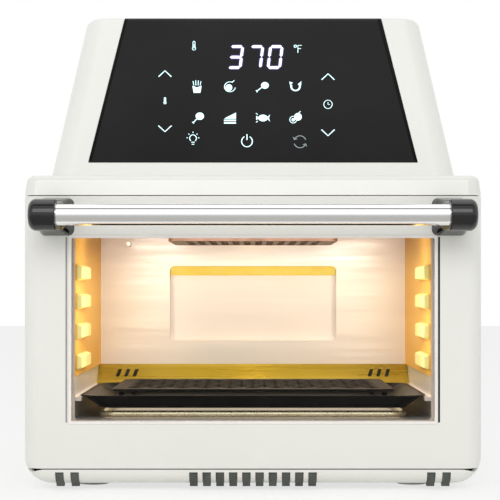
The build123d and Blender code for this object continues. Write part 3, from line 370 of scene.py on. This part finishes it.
def digit_shapes(number, grow=0.0):
    """Slanted seven-segment digit with its lower left corner at the origin."""
    half = SEGMENT / 2 + grow
    w, h = DIGIT_WIDTH, DIGIT_HEIGHT
    cut = SEGMENT_CUT - grow
    ends = {
        "a": ((cut, h), (w - cut, h)), "g": ((cut, h / 2), (w - cut, h / 2)),
        "d": ((cut, 0), (w - cut, 0)), "f": ((0, h - cut), (0, h / 2 + cut)),
        "b": ((w, h - cut), (w, h / 2 + cut)), "e": ((0, h / 2 - cut), (0, cut)),
        "c": ((w, h / 2 - cut), (w, cut)),
    }
    shapes = []
    for key in SEGMENTS[number]:
        (x0, y0), (x1, y1) = ends[key]
        if y0 == y1:
            outline = [(x0, y0), (x0 + half, y0 + half), (x1 - half, y0 + half),
                       (x1, y0), (x1 - half, y0 - half), (x0 + half, y0 - half)]
        else:
            outline = [(x0, y0), (x0 + half, y0 - half), (x0 + half, y1 + half),
                       (x0, y1), (x0 - half, y1 + half), (x0 - half, y0 - half)]
        shapes.append([(x + DIGIT_SLANT * y, y) for x, y in outline])
    return shapes


for index, (number, left) in enumerate(READOUT):
    base = (left + SEGMENT / 2, DIGIT_TOP + DIGIT_HEIGHT)
    draw_shapes("digit_halo_%d" % index, base, digit_shapes(number, HALO_GROWTH), "halo", HALO_LIFT)
    draw_shapes("digit_%d" % index, base, digit_shapes(number), "digit", SHAPE_LIFT)

# Centre, stroke width and strokes of each icon
icon_strokes = {
    "degree_f": ((298.5, 49), 1.1, [arc(-3.2, 2.6, 1.2, 0, 360, 10), [(-0.6, -4), (-0.6, 3.4), (3.2, 3.4)],
                                    [(-0.6, 0.2), (2.4, 0.2)]]),
    "clock": ((328, 104.5), 0.9, [arc(0, 0, 4.2, 0, 360, 24), [(0, 2.2), (0, -0.2), (1.8, -0.2)]]),
    "power": ((247, 141), 1.3, [arc(0, -0.6, 5.4, 60, -240, 22), [(0, 6.4), (0, 0.8)]]),
    "bulb": ((193, 140), 1.1, [arc(0, 1.6, 3.4, -50, 230, 18), [(-1.7, -2.4), (1.7, -2.4)],
                               [(-1.3, -4.4), (1.3, -4.4)], [(-6.4, 2), (-5, 2)], [(5, 2), (6.4, 2)],
                               [(0, 6.8), (0, 8)], [(-4.4, 6), (-3.6, 5.2)], [(4.4, 6), (3.6, 5.2)]]),
    "fries": ((197, 87), 1.1, [[(-3.2, 1.4), (-3.9, 5.6)], [(-1.1, 1.4), (-1.3, 6.4)],
                               [(1.1, 1.4), (1.4, 6.2)], [(3.2, 1.4), (3.9, 5.4)]]),
    "roast": ((229.5, 87), 1.1, [arc(0.4, 0, 5.4, 60, 350, 20, 0.92), [(2.6, 4.6), (4.8, 6.4)]]),
    "drumstick": ((262.5, 87), 1.5, [[(-0.4, -0.4), (-5.4, -4.2)], [(-5.4, -4.2), (-6.6, -3.8)],
                                     [(-5.4, -4.2), (-5.4, -5.6)]]),
    "shrimp": ((295.5, 87), 2.3, [arc(0, 0.2, 4.4, 40, -200, 20, 0.95)]),
    "chicken": ((198, 118), 1.5, [[(-1.4, -1.4), (-4.6, -4.6)], [(-4.6, -4.6), (-5.8, -4.4)],
                                  [(-4.6, -4.6), (-4.4, -5.8)]]),
    "fish": ((263, 118), 1.0, [[(-5.2, 3.2), (-7, 4.6)], [(-5.2, -3.2), (-7, -4.6)]]),
    "fruit": ((296, 118), 1.0, [arc(-2.8, -1.8, 3.4, 0, 360, 18), [(2.6, 4.8), (4.4, 6.6)]]),
}
# Centre and filled outlines of each icon
icon_shapes = {
    "fries_box": ((197, 87), [[(-4.6, 1.2), (-3.4, -5.8), (3.4, -5.8), (4.6, 1.2), (0, -0.4)]]),
    "roast_disc": ((229.5, 87), [arc(-0.6, -0.6, 3.4, 0, 360, 18)[:-1]]),
    "drumstick_meat": ((262.5, 87), [arc(2.4, 1.6, 3.9, 0, 360, 20, 0.86)[:-1]]),
    "shrimp_tail": ((295.5, 87), [[(-5.4, 1.8), (-6.2, 5.4), (-2.6, 4.4)],
                                  [(2.2, 2.6), (5.8, 5.8), (5.6, 1.6)]]),
    "chicken_meat": ((198, 118), [arc(1.8, 1.8, 4.2, 0, 360, 20, 0.88)[:-1]]),
    "cake_slice": ((230, 118), [[(-6, -0.6), (6, -0.6), (6, 5.4)],
                                [(-6, -1.6), (6, -1.6), (6, -3.2), (-6, -3.2)],
                                [(-6, -4.2), (6, -4.2), (6, -5.6), (-6, -5.6)]]),
    "fish_body": ((263, 118), [arc(0, 0, 4.8, 0, 360, 22, 0.70)[:-1],
                               [(3.6, 0), (7, 3.6), (6, 0), (7, -3.6)],
                               [(-6.8, 2.2), (-3.8, 0), (-6.8, -2.2)]]),
    "fruit_disc": ((296, 118), [arc(2, 1.2, 3.8, 0, 360, 18)[:-1], arc(-2.8, -1.8, 1.7, 0, 360, 14)[:-1]]),
}
for name, (centre, shapes) in icon_shapes.items():
    draw_shapes("icon_" + name, centre, shapes, "icon", SHAPE_LIFT)
for label, x, y, size in (("low", 165, 101, 0.52), ("high", 194, 46, 0.72)):
    thermometer = [[(px * size, py * size) for px, py in stroke] for stroke in (
        arc(0, -3.6, 2.3, 130, 410, 16), [(-1.4, -1.9), (-1.4, 5)], [(1.4, -1.9), (1.4, 5)],
        arc(0, 5, 1.4, 0, 180, 8), [(0, -3.6), (0, 2)])]
    icon_strokes["thermometer_" + label] = ((x, y), 0.9, thermometer)
for label, x, y, rise in (("left_up", 165, 74, 1), ("right_up", 328, 77, 1),
                          ("left_down", 165, 129, -1), ("right_down", 328, 133, -1)):
    chevron = [[(-6.4, -3 * rise), (0, 3 * rise), (6.4, -3 * rise)]]
    icon_strokes["chevron_" + label] = ((x, y), 1.6, chevron)
for name, (centre, width, strokes) in icon_strokes.items():
    draw_strokes("icon_" + name, centre, strokes, width, "icon")
ROTATION_PX = (300, 142)
rotation_strokes = [arc(0, 0, 6, 20, 160, 14), arc(0, 0, 6, 200, 340, 14),
                    [(-6.6, 4.6), (-5.6, 2), (-3, 3)], [(6.6, -4.6), (5.6, -2), (3, -3)]]
draw_strokes("icon_rotation", ROTATION_PX, rotation_strokes, 1.4, "dim")

# Blacker bands along the panel's sloping sides, from its foot to its top
EDGE_BAND_PX = 3.2
PANEL_FOOT_PX = 161.0
PANEL_TOP_PX = 19.5
PANEL_LEFT_PX = (88.5, 124.5)
PANEL_RIGHT_PX = (417.5, 380.5)
band_edges = {"left": PANEL_LEFT_PX, "right": [x - EDGE_BAND_PX for x in PANEL_RIGHT_PX]}
for side, (foot_x, top_x) in band_edges.items():
    band = [(foot_x, -PANEL_FOOT_PX), (foot_x + EDGE_BAND_PX, -PANEL_FOOT_PX),
            (top_x + EDGE_BAND_PX, -PANEL_TOP_PX), (top_x, -PANEL_TOP_PX)]
    draw_shapes("panel_edge_" + side, (0, 0), [band], "panel_edge", EDGE_LIFT)

# Slim gaskets along both upright edges of the window; the left one is the black seal painted paler grey as
# a painted reflection, the right one keeps the seal's black
SKIN_LIFT = 0.0001
SKIN_FRONT = FRONT_Y - SKIN_LIFT
WINDOW_LOW = 0.0545
WINDOW_HIGH = 0.2030
GASKET_LEFT = (-0.1500, -0.1487)
GASKET_RIGHT = (0.1481, 0.1496)
for name, (left_x, right_x), finish in (("gasket_left", GASKET_LEFT, "gasket"),
                                        ("gasket_right", GASKET_RIGHT, "gasket_dark")):
    corners = [(left_x, SKIN_FRONT, WINDOW_LOW), (right_x, SKIN_FRONT, WINDOW_LOW),
               (right_x, SKIN_FRONT, WINDOW_HIGH), (left_x, SKIN_FRONT, WINDOW_HIGH)]
    strip = bpy.data.meshes.new(name)
    strip.from_pydata(corners, [], [(0, 1, 2, 3)])
    add_piece(name, strip, finish, "door")

# Collar on the sides and foot of the window opening, between the two glasses, glowing with painted warm
# lamp light
COLLAR_HALF = 0.1478
COLLAR_FRONT = FRONT_Y + 0.0045
COLLAR_BACK = FRONT_Y + 0.0240
COLLAR_LOW = 0.0533
COLLAR_HIGH = 0.2040
collar_corners = [(x, y, z) for x in (-COLLAR_HALF, COLLAR_HALF) for y in (COLLAR_FRONT, COLLAR_BACK)
                  for z in (COLLAR_LOW, COLLAR_HIGH)]
collar = bpy.data.meshes.new("window_collar_glow")
collar.from_pydata(collar_corners, [], [(0, 1, 3, 2), (4, 6, 7, 5), (0, 2, 6, 4)])
add_piece("window_collar_glow", collar, "collar", "door")

# Sheet glowing with painted yellow lamp light at the top of the recess in the back wall, sloping down
# towards its back
RECESS_HALF = 0.0795
RECESS_TOP = 0.1832
GLOW_DROP = 0.0085
GLOW_FRONT = 0.1052
GLOW_BACK = 0.1265
GLOW_LOW = RECESS_TOP - GLOW_DROP
recess_glow_corners = [(-RECESS_HALF, GLOW_FRONT, RECESS_TOP), (RECESS_HALF, GLOW_FRONT, RECESS_TOP),
                  (RECESS_HALF, GLOW_BACK, GLOW_LOW), (-RECESS_HALF, GLOW_BACK, GLOW_LOW)]
recess_glow = bpy.data.meshes.new("recess_glow_sheet")
recess_glow.from_pydata(recess_glow_corners, [], [(0, 3, 2, 1)])
add_piece("recess_glow_sheet", recess_glow, "recess_top_glow")

# Floor, background and light
WHITE = (1, 1, 1)
FLOOR_SIZE = 12.0
FLOOR_PAPER_SHARE = 0.7


def stage_plane(name, size, place, material):
    """Level stage piece, which isn't part of the object."""
    width, height = size[0] / 2, size[1] / 2
    corners = [(-width, -height, 0), (width, -height, 0), (width, height, 0), (-width, height, 0)]
    mesh = bpy.data.meshes.new(name)
    mesh.from_pydata(corners, [], [(0, 1, 2, 3)])
    plane = bpy.data.objects.new(name, mesh)
    bpy.context.scene.collection.objects.link(plane)
    plane.location = place
    mesh.materials.append(material)
    return plane


def background_rays(tree):
    """1 for the rays that see the white background: camera, glossy and transmission."""
    paths = tree.nodes.new("ShaderNodeLightPath")
    total = paths.outputs["Is Camera Ray"]
    for kind in ("Is Glossy Ray", "Is Transmission Ray"):
        highest = tree.nodes.new("ShaderNodeMath")
        highest.operation = "MAXIMUM"
        tree.links.new(total, highest.inputs[0])
        tree.links.new(paths.outputs[kind], highest.inputs[1])
        total = highest.outputs[0]
    return total


def between(tree, factor, low, high):
    """Value that goes from low to high while the factor goes from 0 to 1."""
    span = tree.nodes.new("ShaderNodeMapRange")
    span.inputs["To Min"].default_value = low
    span.inputs["To Max"].default_value = high
    tree.links.new(factor, span.inputs["Value"])
    return span.outputs["Result"]


def paper_floor():
    """Pale lit floor that keeps the shadow, partly mixed with the white background."""
    material, tree, shader = new_material("floor")
    colour = ramp(tree, noise(tree, 0.6), (0.94, 0.94, 0.93), (0.96, 0.96, 0.95))
    tree.links.new(colour, shader.inputs["Base Color"])
    shader.inputs["Roughness"].default_value = 0.8
    paper = tree.nodes.new("ShaderNodeEmission")
    paper.inputs["Color"].default_value = (1, 1, 1, 1)
    paper.inputs["Strength"].default_value = 1.0
    blend = tree.nodes.new("ShaderNodeMixShader")
    tree.links.new(between(tree, background_rays(tree), 0.0, FLOOR_PAPER_SHARE), blend.inputs["Fac"])
    tree.links.new(shader.outputs[0], blend.inputs[1])
    tree.links.new(paper.outputs[0], blend.inputs[2])
    tree.links.new(blend.outputs[0], tree.nodes["Material Output"].inputs["Surface"])
    return material


stage_plane("floor", (FLOOR_SIZE, FLOOR_SIZE), (0, 0, 0), paper_floor())

# Grey card over the floor in front and a dark flag above it, both only for reflections
CARD_SIZE = (5.0, 2.6)
CARD_PLACE = (0, -1.54, 0.001)
FLAG_SIZE = (5.0, 0.2)
FLAG_PLACE = (0, -0.53, 1.22)
card_material = surface("card", ((0.56, 0.56, 0.54), (0.60, 0.60, 0.58)), (0.8, 0.9), grain=1.0)
card = stage_plane("card", CARD_SIZE, CARD_PLACE, card_material)
for ray in ("camera", "diffuse", "shadow"):
    setattr(card, "visible_" + ray, False)
flag_material = surface("flag", ((0.10, 0.10, 0.10), (0.13, 0.13, 0.13)), (0.8, 0.9), grain=1.0)
flag = stage_plane("flag", FLAG_SIZE, FLAG_PLACE, flag_material)
for ray in ("camera", "diffuse", "shadow", "transmission"):
    setattr(flag, "visible_" + ray, False)


def area_light(name, place, target, size, energy, colour=WHITE):
    """Soft rectangular lamp aimed at a point."""
    data = bpy.data.lights.new(name, "AREA")
    data.shape = "RECTANGLE"
    data.size, data.size_y = size
    data.energy = energy
    data.color = colour
    lamp = bpy.data.objects.new(name, data)
    bpy.context.scene.collection.objects.link(lamp)
    lamp.location = place
    aim = Vector(target) - Vector(place)
    lamp.rotation_euler = aim.to_track_quat("-Z", "Y").to_euler()


STUDIO_AIM = (0, 0, 0.2)
area_light("front_box", (-0.3, -2.4, 1.45), STUDIO_AIM, size=(3.0, 1.1), energy=24.5)
area_light("top", (0, 0.1, 1.9), STUDIO_AIM, size=(1.6, 1.2), energy=3)

# Warm lamp light inside the cavity
LAMP_COLOUR = (1.0, 0.85, 0.62)
PINK_LAMP = (1.0, 0.88, 0.88)
AMBER_LAMP = (1.0, 0.86, 0.66)
CAVITY_MIDDLE_Y = -0.016
GUARD_CLEARANCE = 0.004
guard_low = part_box("element_guard")[0].z
area_light("cavity_glow", (0, CAVITY_MIDDLE_Y, guard_low - GUARD_CLEARANCE), (0, CAVITY_MIDDLE_Y, 0),
           size=(0.22, 0.18), energy=0.29, colour=LAMP_COLOUR)
area_light("front_glow", (0, -0.10, 0.205), (0, 0.105, 0.09),
           size=(0.24, 0.04), energy=0.17, colour=PINK_LAMP)
for side, sign in (("left", -1), ("right", 1)):
    area_light("side_glow_" + side, (sign * 0.118, -0.126, 0.145), (sign * 0.16, 0.06, 0.145),
               size=(0.02, 0.12), energy=0.05, colour=LAMP_COLOUR)
area_light("floor_glow", (0, -0.03, 0.0622), (0, -0.03, 0),
           size=(0.25, 0.16), energy=0.09, colour=AMBER_LAMP)
area_light("back_glow", (0, 0.075, 0.206), (0, 0.105, 0.05),
           size=(0.24, 0.02), energy=0.03, colour=LAMP_COLOUR)

# World: a soft level on the object, plain white behind it
AMBIENT = 0.59
world = bpy.data.worlds.new("studio")
world.use_nodes = True
bpy.context.scene.world = world
sky = world.node_tree
background = sky.nodes["Background"]
background.inputs["Color"].default_value = (*WHITE, 1)
sky.links.new(between(sky, background_rays(sky), AMBIENT, 1.0), background.inputs["Strength"])
